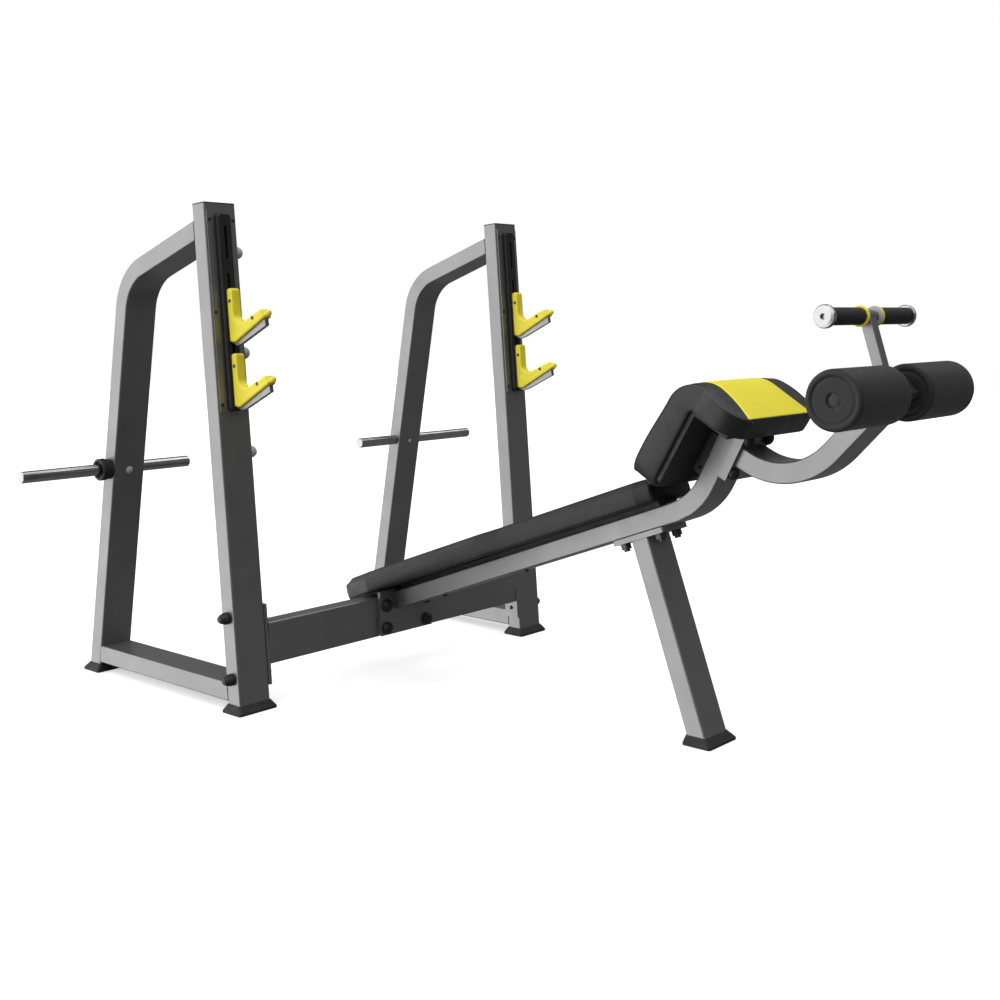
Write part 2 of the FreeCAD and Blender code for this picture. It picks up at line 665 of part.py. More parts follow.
def bench_line(x, above=0.0):
    """Height at layout x of a line parallel to the bench tube's centre line."""
    return BENCH_Z0 + x * tan(radians(BENCH_SLOPE)) + above / cos(radians(BENCH_SLOPE))


def bench_points():
    """Centre line of the bench tube from the crossbeam flange to its upturned end."""
    turn = (BENCH_TURN_X, bench_line(BENCH_TURN_X))
    rise = radians(BENCH_RISE)
    end = (turn[0] + BENCH_END_RUN * cos(rise), turn[1] + BENCH_END_RUN * sin(rise))
    return [(-PAST_CUT, bench_line(-PAST_CUT)), turn, end]


def pad_bolts(radius):
    """Shanks of the bolts that go up through the bench tube into the back pad's board."""
    top = TUBE_DEEP / 2 + SPACER_THICK + BOARD_THICK - 2
    bolts = []
    for run in PAD_BOLT_RUN:
        bolts.append(Part.makeCylinder(radius, top + TUBE_DEEP / 2, V(run, 0, -TUBE_DEEP / 2)))
    return bolts


def make_bench_tube():
    face_x = BEAM_X[1]
    tube = frame_tube(bench_points(), [BENCH_BEND_R])
    tube = tube.cut(beyond((face_x + FLANGE_THICK, 0, 0), (-1, 0, 0)))
    for shank in pad_bolts(PAD_BOLT_R):
        tube = tube.cut(on_bench(shank))
    save("bench_tube", tube)
    flange = box((face_x, face_x + FLANGE_THICK), (-FLANGE_Y, FLANGE_Y), FLANGE_Z)
    flange = flange.makeFillet(6.0, [e for e in flange.Edges if e.BoundBox.XLength > 5])
    save("bench_flange", flange)


def make_leg():
    slope = radians(BENCH_SLOPE)
    foot = (LEG_FOOT_X, 0.0)
    top = cross_line(foot, BENCH_SLOPE + 90, (0.0, bench_line(0.0)), BENCH_SLOPE)
    leg = frame_tube([(foot[0] + PAST_CUT * tan(slope), -PAST_CUT), top])
    under = -TUBE_DEEP / 2
    plate_under = under - LEG_PLATE_THICK
    above_joint = beyond((0, 0, bench_line(0.0, plate_under)), (-sin(slope), 0, cos(slope)))
    leg = leg.cut(above_joint)
    leg = leg.cut(beyond((0, 0, FOOT_SOLE), (0, 0, -1)))
    save("front_leg", leg)

    half_long, half_wide = LEG_PLATE_LONG / 2, LEG_PLATE_WIDE / 2
    plate = box((-half_long, half_long), (-half_wide, half_wide), (plate_under, under))
    plate = plate.makeFillet(5.0, [e for e in plate.Edges if e.BoundBox.ZLength > 5])
    save("leg_top_plate", turned(plate, BENCH_SLOPE, *top))
    flats, head, shank_r, shank = LEG_BOLT
    bolt = hexagon(flats, head).fuse(Part.makeCylinder(shank_r, shank))
    bolts = []
    for along in SIDES.values():
        for across in SIDES.values():
            place = (along * LEG_BOLT_AT[0], across * LEG_BOLT_AT[1], plate_under)
            bolts.append(turned(aimed(bolt, place, (0, 0, -1)), BENCH_SLOPE, *top))
    save("leg_bolts", *bolts)


def back_pad_outline(inset=0.0):
    """Plan outline along the bench: tapered ends and a narrower upper part."""
    low, high = BACK_PAD_RUN
    half = [(low + inset, 103.0), (low + 120, BACK_PAD_HALF), (430.0, BACK_PAD_HALF),
            (500.0, 112.0), (high - 45, 100.0), (high - inset, 85.0)]
    half = [(x, y - inset) for x, y in half]
    return half + [(x, -y) for x, y in reversed(half)]


def make_back_pad():
    bottom = TUBE_DEEP / 2 + SPACER_THICK
    spacer = box(SPACER_RUN, (-SPACER_HALF, SPACER_HALF), (TUBE_DEEP / 2, bottom))
    board_z = (bottom, bottom + BOARD_THICK)
    board = plan_prism(back_pad_outline(BOARD_INSET), board_z)
    pad = plan_prism(back_pad_outline(), (bottom, bottom + PAD_THICK))
    pad = pad.makeChamfer(PAD_BEVEL, [e for e in pad.Edges
                                      if e.BoundBox.ZMin > bottom + PAD_THICK - 0.1])
    pad = pad.cut(board)
    bolts = []
    for run, shank in zip(PAD_BOLT_RUN, pad_bolts(PAD_BOLT_R)):
        spacer = spacer.cut(shank)
        board = board.cut(shank)
        head = aimed(hexagon(*PAD_BOLT_HEAD), (run, 0, -TUBE_DEEP / 2), (0, 0, -1))
        bolts.append(on_bench(shank.fuse(head)))
    save("back_pad", on_bench(pad))
    save("back_pad_board", on_bench(board))
    save("back_pad_spacer", on_bench(spacer))
    save("back_pad_bolts", *bolts)


def leg_slope(start, end):
    """Direction in the side view from start to end, in degrees."""
    return degrees(atan2(end[1] - start[1], end[0] - start[0]))


def corner_cutters(start, end, long, deep):
    """Wedges that narrow the knee pad towards the end of one of its two legs."""
    half = KNEE_PAD_HALF
    slope_y = deep / long
    cutters = []
    for sign in SIDES.values():
        corners = [(-2, half - deep - 2 * slope_y), (long, half), (long, half + 5), (-2, half + 5)]
        wedge = plan_prism([(x, sign * y) for x, y in corners], (-90, 90))
        cutters.append(turned(wedge, leg_slope(start, end), *start))
    return cutters


def tapered_band(points, left, right, half_width, tapers):
    """Folded slab whose two ends are narrowed by the same wedges on both sides."""
    slab = band(points, [KNEE_BEND_R], left, right, half_width)
    cutters = corner_cutters(KNEE_LINE[0], KNEE_LINE[1], *tapers[0])
    cutters += corner_cutters(KNEE_LINE[2], KNEE_LINE[1], *tapers[1])
    for cutter in cutters:
        slab = slab.cut(cutter)
    return slab


def along_line(start, end, distance):
    """Point on the line from start to end, distance away from start."""
    step = unit(start, end)
    return start[0] + step.x * distance, start[1] + step.z * distance


def make_knee_pad():
    low, apex, front = KNEE_LINE
    save("knee_pad", tapered_band(KNEE_LINE, KNEE_PAD_THICK, 0.0, KNEE_PAD_HALF, KNEE_PAD_TAPER))
    board = [along_line(low, apex, BOARD_INSET), apex, along_line(front, apex, BOARD_INSET)]
    save("knee_pad_board",
         tapered_band(board, 0.0, BOARD_THICK, KNEE_BOARD_HALF, KNEE_BOARD_TAPER))


def make_knee_bracket():
    """Folded channel from the bench tube's upturned end to the knee pad's board."""
    low, apex = KNEE_LINE[:2]
    slope = leg_slope(low, apex)
    start, end = BRACKET_RUN
    back, inside = -BOARD_THICK, BRACKET_HALF - BRACKET_WALL
    web = back - BRACKET_WALL
    channel = box(BRACKET_RUN, (-BRACKET_HALF, BRACKET_HALF), (back - BRACKET_DEEP, back))
    channel = channel.cut(box(BRACKET_RUN, (-inside, inside), (back - BRACKET_DEEP, web)))
    hole_x, hole_z, hole_r = BRACKET_HOLE
    channel = channel.cut(rod_y(start + hole_x, back - hole_z, (-FLANGE_Y, FLANGE_Y), hole_r))
    screws = []
    for x in (start + BRACKET_SCREW_INSET[0], end - BRACKET_SCREW_INSET[1]):
        for sign in SIDES.values():
            place = (x, sign * BRACKET_SCREW_Y, web)
            screw = aimed(dome(*BRACKET_SCREW_CAP), place, (0, 0, -1))
            screws.append(turned(screw, slope, *low))
    rise = radians(BENCH_RISE)
    turn = bench_points()[1]
    tube_face = (turn[0] - TUBE_DEEP / 2 * sin(rise), 0, turn[1] + TUBE_DEEP / 2 * cos(rise))
    in_tube = beyond(tube_face, (sin(rise), 0, -cos(rise)))
    save("knee_pad_bracket", turned(channel, slope, *low).cut(in_tube))
    save("knee_pad_screws", *screws)


# ---- roller arm and handle -----------------------------------------------------------------
def arm_flange_point(run, out):
    """Point out from the lower face of the bench tube's upturned end."""
    rise = radians(BENCH_RISE)
    x = ARM_FLANGE_ZERO[0] + run * cos(rise) + out * sin(rise)
    z = ARM_FLANGE_ZERO[1] + run * sin(rise) - out * cos(rise)
    return x, z


def arm_flange_normal():
    rise = radians(BENCH_RISE)
    return sin(rise), 0, -cos(rise)


def arm_points():
    """Centre line of the curved arm from its flange to just past the roller axle."""
    start = arm_flange_point(ARM_JOINT_RUN, 2 * ARM_FLANGE_THICK)
    turn = cross_line(start, BENCH_RISE - 90, (ROLLER_X, ROLLER_Z), ARM_END_SLOPE)
    rise = radians(ARM_END_SLOPE)
    past = ARM_PAST_AXLE - PLUG_LIP
    return [start, turn, (ROLLER_X + past * cos(rise), ROLLER_Z + past * sin(rise))]


def make_arm():
    plate = box(ARM_FLANGE_RUN, (-ARM_FLANGE_HALF, ARM_FLANGE_HALF), (-ARM_FLANGE_THICK, 0))
    plate = plate.makeFillet(5.0, [e for e in plate.Edges if e.BoundBox.ZLength > 5])
    save("bench_tube_flange", turned(plate, BENCH_RISE, *arm_flange_point(0, 0)))
    save("arm_flange", turned(plate, BENCH_RISE, *arm_flange_point(0, ARM_FLANGE_THICK)))
    arm = frame_tube(arm_points(), [ARM_BEND_R])
    save("roller_arm", arm.cut(rod_y(ROLLER_X, ROLLER_Z, (-80, 80), AXLE_R)))


def make_rollers():
    half = ROLLER_Y[1] - ROLLER_RECESS
    save("roller_axle", rod_y(ROLLER_X, ROLLER_Z, (-half, half), AXLE_R))
    caps = []
    for side, sign in SIDES.items():
        near, far = sorted(sign * y for y in ROLLER_Y)
        foam = rod_y(ROLLER_X, ROLLER_Z, (near, far), ROLLER_R)
        foam = foam.makeFillet(ROLLER_ROUND, end_edges(foam))
        foam = foam.cut(rod_y(ROLLER_X, ROLLER_Z, (near - 5, far + 5), CORE_R))
        save(side + "_foam_roller", foam)
        core_ends = sorted((sign * ROLLER_Y[0], sign * (half - 1)))
        core = rod_y(ROLLER_X, ROLLER_Z, core_ends, CORE_R)
        bore = rod_y(ROLLER_X, ROLLER_Z, (near - 5, far + 5), AXLE_R + RUN_CLEARANCE)
        save(side + "_roller_core", core.cut(bore))
        place = (ROLLER_X, sign * half, ROLLER_Z)
        caps.append(aimed(dome(CORE_R - 0.6, 4.5, 2.0), place, (0, sign, 0)))
    save("axle_end_caps", *caps)


def handle_ring(sign, span, outer, edge):
    """Ring on the handle bar between two distances from the middle."""
    near, far = sorted(sign * y for y in span)
    ring = rod_y(HANDLE_X, HANDLE_Z, (near, far), outer)
    ring = ring.makeFillet(edge, end_edges(ring))
    return ring.cut(rod_y(HANDLE_X, HANDLE_Z, (near - 1, far + 1), HANDLE_BAR_R))


def make_handle():
    bar_half = HANDLE_HALF - CAP_PROUD
    save("handle_bar", rod_y(HANDLE_X, HANDLE_Z, (-bar_half, bar_half), HANDLE_BAR_R))

    foot = (HANDLE_X + STEM_LEAN * STEM_LONG, HANDLE_Z - STEM_LONG)
    half = STEM_DEEP / 2
    stem = band([foot, (HANDLE_X, HANDLE_Z)], [], half, half, STEM_WIDE / 2)
    stem = stem.makeFillet(2.0, flat_edges(stem, STEM_DEEP + 1))
    rise = radians(ARM_END_SLOPE)
    deep = TUBE_DEEP / 2
    arm_face = (ROLLER_X - deep * sin(rise), 0, ROLLER_Z + deep * cos(rise))
    stem = stem.cut(beyond(arm_face, (sin(rise), 0, -cos(rise))))
    eye_half = STEM_WIDE / 2
    sleeve_half = eye_half + SLEEVE_PROUD
    sleeve_r = HANDLE_BAR_R + SLEEVE_WALL
    stem = stem.fuse(rod_y(HANDLE_X, HANDLE_Z, (-eye_half, eye_half), half + 2))
    stem = stem.fuse(rod_y(HANDLE_X, HANDLE_Z, (-sleeve_half, sleeve_half), sleeve_r))
    stem = stem.cut(rod_y(HANDLE_X, HANDLE_Z, (-bar_half, bar_half), HANDLE_BAR_R))
    save("handle_stem", stem.removeSplitter())

    washers, collars, grips, end_caps = [], [], [], []
    cap = turned_part(HANDLE_CAP).cut(Part.makeCylinder(HANDLE_BAR_R, bar_half - GRIP_Y[1]))
    for sign in SIDES.values():
        washers.append(handle_ring(sign, WASHER_Y, WASHER_R, 1.0))
        collars.append(handle_ring(sign, COLLAR_Y, HANDLE_COLLAR_R, 1.5))
        grips.append(handle_ring(sign, GRIP_Y, GRIP_R, 1.5))
        end_caps.append(aimed(cap, (HANDLE_X, sign * GRIP_Y[1], HANDLE_Z), (0, sign, 0)))
    save("handle_washers", *washers)
    save("handle_collars", *collars)
    save("hand_grips", *grips)
    save("handle_end_caps", *end_caps)


os.makedirs("parts", exist_ok=True)
make_posts()
make_side_frames()
make_feet()
make_end_plugs()
make_crossbeam()
make_bolt_caps()
make_horns()
make_post_studs()
make_rails()
make_hooks()
make_bench_tube()
make_leg()
make_back_pad()
make_knee_pad()
make_knee_bracket()
make_arm()
make_rollers()
make_handle()
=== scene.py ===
"""Looks of the decline weight bench: upholstery, foam rollers, hook liners, welds and materials."""

import json
from math import atan, atan2, cos, pi, radians, sin, sqrt

import bmesh
import bpy
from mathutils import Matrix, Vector


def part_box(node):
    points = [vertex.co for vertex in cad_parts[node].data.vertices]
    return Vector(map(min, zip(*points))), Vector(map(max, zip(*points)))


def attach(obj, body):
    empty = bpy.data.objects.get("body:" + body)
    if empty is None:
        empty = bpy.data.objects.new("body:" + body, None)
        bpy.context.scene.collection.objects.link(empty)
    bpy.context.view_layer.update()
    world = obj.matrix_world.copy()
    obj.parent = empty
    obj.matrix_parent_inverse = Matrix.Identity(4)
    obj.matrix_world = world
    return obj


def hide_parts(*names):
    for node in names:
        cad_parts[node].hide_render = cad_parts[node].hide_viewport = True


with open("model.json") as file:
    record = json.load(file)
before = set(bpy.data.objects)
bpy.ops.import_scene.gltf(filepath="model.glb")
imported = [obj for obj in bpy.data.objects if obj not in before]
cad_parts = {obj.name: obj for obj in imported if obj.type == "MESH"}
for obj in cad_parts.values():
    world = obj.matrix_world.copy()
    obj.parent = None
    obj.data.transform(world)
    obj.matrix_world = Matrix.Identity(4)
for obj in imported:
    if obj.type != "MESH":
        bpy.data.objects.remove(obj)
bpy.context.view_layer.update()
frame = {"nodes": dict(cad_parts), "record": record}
NODES = frame["nodes"]

# ---- driving sizes, in metres ---------------------------------------------------------------
BENCH_SLOPE = atan(0.368)

PAD_END_R = 0.006                   # rounding of a pad's end faces
PAD_END_RUNS = (0.0, 0.0012, 0.003, 0.006, 0.012, 0.022, 0.034, 0.046)   # sections near an end
PAD_CORNER_RUN = 0.003              # sections this far before and after a corner of the plan
PAD_STEP = 0.012                    # between the other sections
PAD_FOOT = [                        # rounded bottom edge: (beyond the side, height)
    (-0.010, 0.0), (-0.002, 0.0008), (0.0, 0.004)]
PAD_BULGE = 0.0022                  # how far the side band swells out
PAD_BAND_LESS = 0.009               # how much shorter than the seam's height the swelling is
PAD_SEAM_DROP = 0.0005              # from the top of the side band down to the seam
PAD_SEAM = [                        # the seam's ridge and groove: (beyond the side, above the seam)
    (0.0, -0.0045), (-0.0008, -0.0015), (-0.0026, 0.0002), (-0.0042, -0.0006), (-0.0056, 0.0012)]
PAD_BORDER_RISE = 0.86              # share of the crown that the border's curve climbs
PAD_TOP_LIFT = 0.001                # the top's lowest height above the seam

BACK_PAD_SIDE = 0.046               # height of the back pad's side band
BACK_PAD_BORDER = 0.020             # width of the sloping border round its top
BACK_PAD_CROWN = 0.003              # rise of its top at the very ends
BACK_PAD_RAMP = 0.024               # from an end to where its top has its full height
BACK_PAD_PLAN = [                   # (distance from an end, half width); negative: from the top end
    (0.000, 0.103), (0.120, 0.130), (0.566, 0.130), (0.636, 0.112), (-0.045, 0.100), (-0.001, 0.085)]

KNEE_LOW_SLOPE = atan2(0.190, 0.109)
KNEE_FRONT_SLOPE = atan2(-0.065, 0.113)
KNEE_LOW_LEG = 0.219
KNEE_FRONT_LEG = 0.1304
KNEE_BEND_R = 0.013
KNEE_CAD_THICK = 0.064
KNEE_SIDE = {"low": 0.069, "crest": 0.060, "front": 0.050}       # heights of its side band
KNEE_BORDER = 0.040
KNEE_SIDE_EASE = (0.130, 0.010)     # the side band lowers from before the bend to past the crest
KNEE_CREST_AT = 0.6                 # share of the bend that lies before the crest
KNEE_CROWN = 0.0035
KNEE_END_CROWN = 0.001
KNEE_CROWN_RAMP = 0.050             # from an end to the full crown
KNEE_CORNER = {"low": (0.055, 0.035), "front": (0.062, 0.062)}   # along the pad, across it
KNEE_TAPER = 0.018                  # how much narrower than its widest place the low leg is
KNEE_TAPER_START = 0.020            # how far before the crest the widening starts
KNEE_WIDEST = 0.085                 # from the front end
KNEE_HALF = 0.192
KNEE_BEND_MARGIN = 0.004            # the close sections of the bend reach this far past it
KNEE_BEND_STEPS = 25
KNEE_STEPS = 24
KNEE_END_RUNS = (0.0012, 0.003)
KNEE_LEAST_STEP = 0.0004            # sections nearer to each other than this are left out
WELT_R = 0.0021
WELT_PLACE = (0.0022, 0.0004)       # inside the side, below the side band's top

PANEL_HALF = {"crest": 0.119, "front": 0.149}
PANEL_START = 0.030                 # before the bend
PANEL_FRONT_GAP = 0.0035            # from the pad's front end
PANEL_MARGIN = 0.004                # least distance from the pad's side
PANEL_TOP_BAND = 0.001              # a section's points above the side band less this are its top
PANEL_LIFT = 0.0016                 # how far it stands above the cover
PANEL_EDGE = 0.003                  # width over which its edges come down
PANEL_SINK = 0.0004                 # how far its edges lie in the cover
PANEL_THICK = 0.003
PANEL_STEPS = 41

ROLLER_BORE = 0.01475               # radius
ROLLER_INNER = 0.020                # depth from an end where the bore and the plain side start
ROLLER_RIM = 0.0090                 # radius of the rolled rim at a roller's ends
ROLLER_RIM_LEAN = radians(42.0)     # how far round the rim rolls in towards the end face
ROLLER_DISH = 0.0030                # how far the end faces lie inside the rim
ROLLER_DISH_WAVE = 0.0006
ROLLER_LIP = [(0.0, 0.0030), (0.0010, 0.0010), (0.0035, 0.0)]    # (beyond the bore, below the dish)
ROLLER_GROOVE = [(-0.0030, 0.0), (-0.0012, 0.0014)]              # (beyond the rim, below the dish)

SEAM_MERGE = 1e-5
LINER_VOXEL = 0.0016
LINER_SMOOTHING = 16
WELD_R = 0.0026
WELD_RIPPLE = 0.0006
WELD_RIPPLE_TURN = 0.9              # of the ripple's phase from one point to the next, in radians
WELD_STEP = 0.0012
FOOT_REACH = 0.003                  # points this close to a tube's lower end outline its foot


# ---- mesh helpers ---------------------------------------------------------------------------
def make_mesh(name, verts, faces, body, slot, material):
    """A piece from points and faces, riding on a body, with its material."""
    mesh = bpy.data.meshes.new(name)
    mesh.from_pydata([tuple(v) for v in verts], [], faces)
    bm = bmesh.new()
    bm.from_mesh(mesh)
    bmesh.ops.remove_doubles(bm, verts=bm.verts, dist=1e-6)
    bmesh.ops.recalc_face_normals(bm, faces=bm.faces)
    bm.to_mesh(mesh)
    bm.free()
    mesh.materials.append(material)
    mesh.shade_smooth()
    piece = bpy.data.objects.new(name, mesh)
    bpy.context.scene.collection.objects.link(piece)
    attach(piece, body)
    return piece


def loft(rings, closed_ends=True):
    """Faces between rings of equally many points; the ends are closed by a fan."""
    count = len(rings[0])
    verts = [p for ring in rings for p in ring]
    faces = []
    for r in range(len(rings) - 1):
        for i in range(count):
            j = (i + 1) % count
            a, b = r * count, (r + 1) * count
            faces.append((a + i, a + j, b + j, b + i))
    if closed_ends:
        for start in (0, (len(rings) - 1) * count):
            middle = sum((Vector(verts[start + i]) for i in range(count)), Vector()) / count
            verts.append(middle)
            tip = len(verts) - 1
            for i in range(count):
                faces.append((start + i, start + (i + 1) % count, tip))
    return verts, faces


def make_bead(name, line, radius_at, material, closed=False, slot="pad_cover", steps=10):
    """A round bead along a line of points, riding on the frame; radius_at takes a point's number."""
    rings = []
    count = len(line)
    first = None
    for k, point in enumerate(line):
        before = line[(k - 1) % count] if closed or k else point
        after = line[(k + 1) % count] if closed or k < count - 1 else point
        along = (after - before).normalized()
        first = along.orthogonal() if first is None else first - along * first.dot(along)
        first.normalize()
        second = along.cross(first)
        radius = radius_at(k)
        rings.append([point + (first * cos(a) + second * sin(a)) * radius
                      for a in spread(0.0, 2 * pi * (1 - 1 / steps), steps)])
    if closed:
        rings.append(rings[0])
    return make_mesh(name, *loft(rings, closed_ends=not closed), "frame", slot,
                     MATERIALS[material])


def apply_modifier(piece, kind, **settings):
    """Adds one modifier to a piece and applies it."""
    modifier = piece.modifiers.new(kind.lower(), kind)
    for key, value in settings.items():
        setattr(modifier, key, value)
    depsgraph = bpy.context.evaluated_depsgraph_get()
    mesh = bpy.data.meshes.new_from_object(piece.evaluated_get(depsgraph))
    piece.modifiers.clear()
    old = piece.data
    piece.data = mesh
    bpy.data.meshes.remove(old)


def smoothstep(low, high, x):
    """0 below low, 1 above high, and a smooth change between them."""
    t = min(max((x - low) / (high - low), 0.0), 1.0)
    return t * t * (3 - 2 * t)


def spread(start, end, count):
    """Evenly spaced numbers from start to end, both included."""
    return [start + (end - start) * k / (count - 1) for k in range(count)]


def span(node, axis):
    """Lowest and highest distance of a CAD node's points along an axis."""
    reach = [v.co.dot(axis) for v in NODES[node].data.vertices]
    return min(reach), max(reach)


# ---- materials ------------------------------------------------------------------------------
class Shader:
    """A material's node tree with short names for the nodes used here."""

    def __init__(self, name, **constants):
        self.material = bpy.data.materials.new(name)
        self.material.use_nodes = True
        self.tree = self.material.node_tree
        self.surface = self.tree.nodes["Principled BSDF"]
        for key, value in constants.items():
            self.surface.inputs[key.replace("_", " ")].default_value = value
        self.place = self.tree.nodes.new("ShaderNodeTexCoord").outputs["Object"]

    def node(self, kind, inputs=(), **settings):
        """Adds a node; an input is a socket to link or a value to set."""
        node = self.tree.nodes.new("ShaderNode" + kind)
        for key, value in settings.items():
            setattr(node, key, value)
        for key, value in dict(inputs).items():
            if isinstance(value, bpy.types.NodeSocket):
                self.tree.links.new(value, node.inputs[key])
            else:
                node.inputs[key].default_value = value
        return node

    def noise(self, scale, detail=3.0, stretch=None):
        place = self.place
        if stretch:
            place = self.node("Mapping", {"Vector": place, "Scale": stretch}).outputs["Vector"]
        made = self.node("TexNoise", {"Vector": place, "Scale": scale, "Detail": detail,
                                      "Roughness": 0.55})
        return made.outputs["Fac"]

    def cells(self, scale):
        return self.node("TexVoronoi", {"Vector": self.place, "Scale": scale}).outputs["Distance"]

    def ramp(self, value, low, high, out_low=0.0, out_high=1.0):
        made = self.node("MapRange", {"Value": value, "From Min": low, "From Max": high,
                                      "To Min": out_low, "To Max": out_high})
        return made.outputs["Result"]

    def blend_colour(self, value, first, second):
        made = self.node("Mix", {"Factor": value}, data_type="RGBA")
        made.inputs["A"].default_value = (*first, 1.0)
        made.inputs["B"].default_value = (*second, 1.0)
        return made.outputs["Result"]

    def math(self, operation, a, b):
        return self.node("Math", {0: a, 1: b}, operation=operation).outputs["Value"]

    def colour(self, socket):
        self.tree.links.new(socket, self.surface.inputs["Base Color"])

    def roughness(self, socket):
        self.tree.links.new(socket, self.surface.inputs["Roughness"])

    def bump(self, height, strength, distance, below=None):
        """A bump on the surface, over an earlier one if that is given."""
        inputs = {"Height": height, "Strength": strength, "Distance": distance}
        if below is not None:
            inputs["Normal"] = below
        out = self.node("Bump", inputs).outputs["Normal"]
        self.tree.links.new(out, self.surface.inputs["Normal"])
        return out


def powder_coat(name, light, dark):
    """Satin metallic powder coat: a fine orange-peel skin, uneven gloss and metal flake."""
    s = Shader(name, Metallic=0.8, IOR=1.5)
    broad = s.ramp(s.noise(6.0, 4.0), 0.3, 0.7)
    flake = s.ramp(s.noise(1600.0, 1.0), 0.35, 0.65)
    mixed = s.math("ADD", s.math("MULTIPLY", broad, 0.6), s.math("MULTIPLY", flake, 0.4))
    s.colour(s.blend_colour(mixed, dark, light))
    s.roughness(s.ramp(s.noise(14.0, 5.0), 0.3, 0.7, 0.36, 0.46))
    skin = s.bump(s.noise(420.0, 2.0), 0.14, 0.0003)
    s.bump(s.noise(1500.0, 1.0), 0.07, 0.0002, skin)
    return s.material


def moulded(name, light, dark, rough=(0.42, 0.56), grain=900.0, strength=0.12):
    """Moulded plastic with a fine spark-eroded grain."""
    s = Shader(name, IOR=1.46, Specular_IOR_Level=0.35)
    s.colour(s.blend_colour(s.ramp(s.noise(18.0, 4.0), 0.3, 0.7), dark, light))
    s.roughness(s.ramp(s.noise(35.0, 4.0), 0.3, 0.7, *rough))
    flow = s.bump(s.noise(60.0, 2.0), 0.04, 0.0006)
    s.bump(s.noise(grain, 2.0), strength, 0.0003, flow)
    return s.material


def vinyl(name, light, dark, rough=(0.38, 0.52)):
    """Upholstery vinyl: pebbled grain, soft creases and a faint sheen."""
    s = Shader(name, IOR=1.48, Specular_IOR_Level=0.3, Sheen_Weight=0.02, Sheen_Roughness=0.4)
    pebble = s.cells(520.0)
    valley = s.ramp(pebble, 0.0, 0.6)
    s.colour(s.blend_colour(s.math("MULTIPLY", s.ramp(s.noise(10.0, 4.0), 0.3, 0.7), valley),
                            light, dark))
    s.roughness(s.ramp(s.noise(30.0, 5.0), 0.3, 0.7, *rough))
    crease = s.bump(s.noise(22.0, 3.0), 0.10, 0.0025)
    grain = s.bump(pebble, 0.22, 0.0004, crease)
    s.bump(s.noise(1400.0, 2.0), 0.08, 0.0002, grain)
    return s.material


def closed_foam(name, light, dark):
    """Closed-cell foam with a skinned, finely pored surface."""
    s = Shader(name, IOR=1.4, Specular_IOR_Level=0.25, Sheen_Weight=0.04, Sheen_Roughness=0.6)
    pores = s.cells(1100.0)
    s.colour(s.blend_colour(s.ramp(s.noise(40.0, 5.0), 0.3, 0.7), dark, light))
    s.roughness(s.ramp(s.noise(60.0, 4.0), 0.3, 0.7, 0.46, 0.58))
    s.bump(pores, 0.14, 0.0003)
    return s.material


def rubber(name, light, dark):
    """Matt moulded rubber with a rough grain."""
    s = Shader(name, IOR=1.5, Specular_IOR_Level=0.3)
    s.colour(s.blend_colour(s.ramp(s.noise(24.0, 5.0), 0.3, 0.7), dark, light))
    s.roughness(s.ramp(s.noise(45.0, 4.0), 0.3, 0.7, 0.58, 0.76))
    s.bump(s.noise(700.0, 3.0), 0.2, 0.0003)
    return s.material


def steel(name, light, dark, rough, stretch, scale=300.0, strength=0.06):
    """Bare or plated steel with fine marks along its making direction."""
    s = Shader(name, Metallic=1.0)
    marks = s.noise(scale, 4.0, stretch)
    s.colour(s.blend_colour(s.ramp(s.noise(20.0, 4.0), 0.35, 0.65), dark, light))
    s.roughness(s.ramp(marks, 0.3, 0.7, *rough))
    s.bump(marks, strength, 0.0002)
    return s.material


def painted_shade_wood(name, light, dark):
    """Plywood coloured near-black as painted shade of the shaded band under the pads; grain streaks
    along X.
    """
    s = Shader(name, IOR=1.45)
    streaks = s.noise(90.0, 6.0, (0.06, 1.0, 1.0))
    s.colour(s.blend_colour(s.ramp(streaks, 0.35, 0.65), dark, light))
    s.roughness(s.ramp(streaks, 0.3, 0.7, 0.5, 0.75))
    s.bump(streaks, 0.3, 0.0006)
    return s.material


MATERIALS = {
    "frame_paint": powder_coat("frame_paint", (0.205, 0.205, 0.207), (0.170, 0.170, 0.172)),
    "black_plastic": moulded("black_plastic", (0.014, 0.014, 0.015), (0.008, 0.008, 0.009)),
    "grey_plastic": moulded("grey_plastic", (0.40, 0.40, 0.405), (0.33, 0.33, 0.335)),
    "yellow_plastic": moulded("yellow_plastic", (0.74, 0.64, 0.034), (0.66, 0.57, 0.028),
                              (0.34, 0.48), 700.0, 0.10),
    "black_rubber": rubber("black_rubber", (0.016, 0.016, 0.016), (0.009, 0.009, 0.009)),
    "dark_steel": steel("dark_steel", (0.07, 0.07, 0.075), (0.04, 0.04, 0.045), (0.35, 0.55),
                        (1.0, 1.0, 1.0)),
    "hook_steel": steel("hook_steel", (0.22, 0.22, 0.225), (0.17, 0.17, 0.174), (0.26, 0.42),
                        (1.0, 0.05, 1.0)),
    "plain_steel": steel("plain_steel", (0.34, 0.34, 0.35), (0.27, 0.27, 0.28), (0.24, 0.38),
                         (1.0, 0.05, 1.0)),
    "chromed_steel": steel("chromed_steel", (0.36, 0.36, 0.363), (0.30, 0.30, 0.303), (0.16, 0.26),
                           (1.0, 0.04, 1.0), 400.0, 0.03),
    "pad_cover": vinyl("pad_cover", (0.012, 0.012, 0.0125), (0.006, 0.006, 0.0065)),
    "yellow_cover": vinyl("yellow_cover", (0.76, 0.67, 0.022), (0.72, 0.63, 0.018)),
    # pad_board: near-black, painted shade for the shaded band under the pads
    "pad_board": painted_shade_wood("pad_board", (0.014, 0.013, 0.012), (0.006, 0.006, 0.006)),
    # pad_welt: lighter than the pad cover's black vinyl, a painted highlight along the welts; its lower
    # roughness is real gloss
    "pad_welt": vinyl("pad_welt", (0.030, 0.030, 0.031), (0.020, 0.020, 0.021), (0.24, 0.34)),
    "roller_foam": closed_foam("roller_foam", (0.016, 0.016, 0.0165), (0.0135, 0.0135, 0.014)),
}


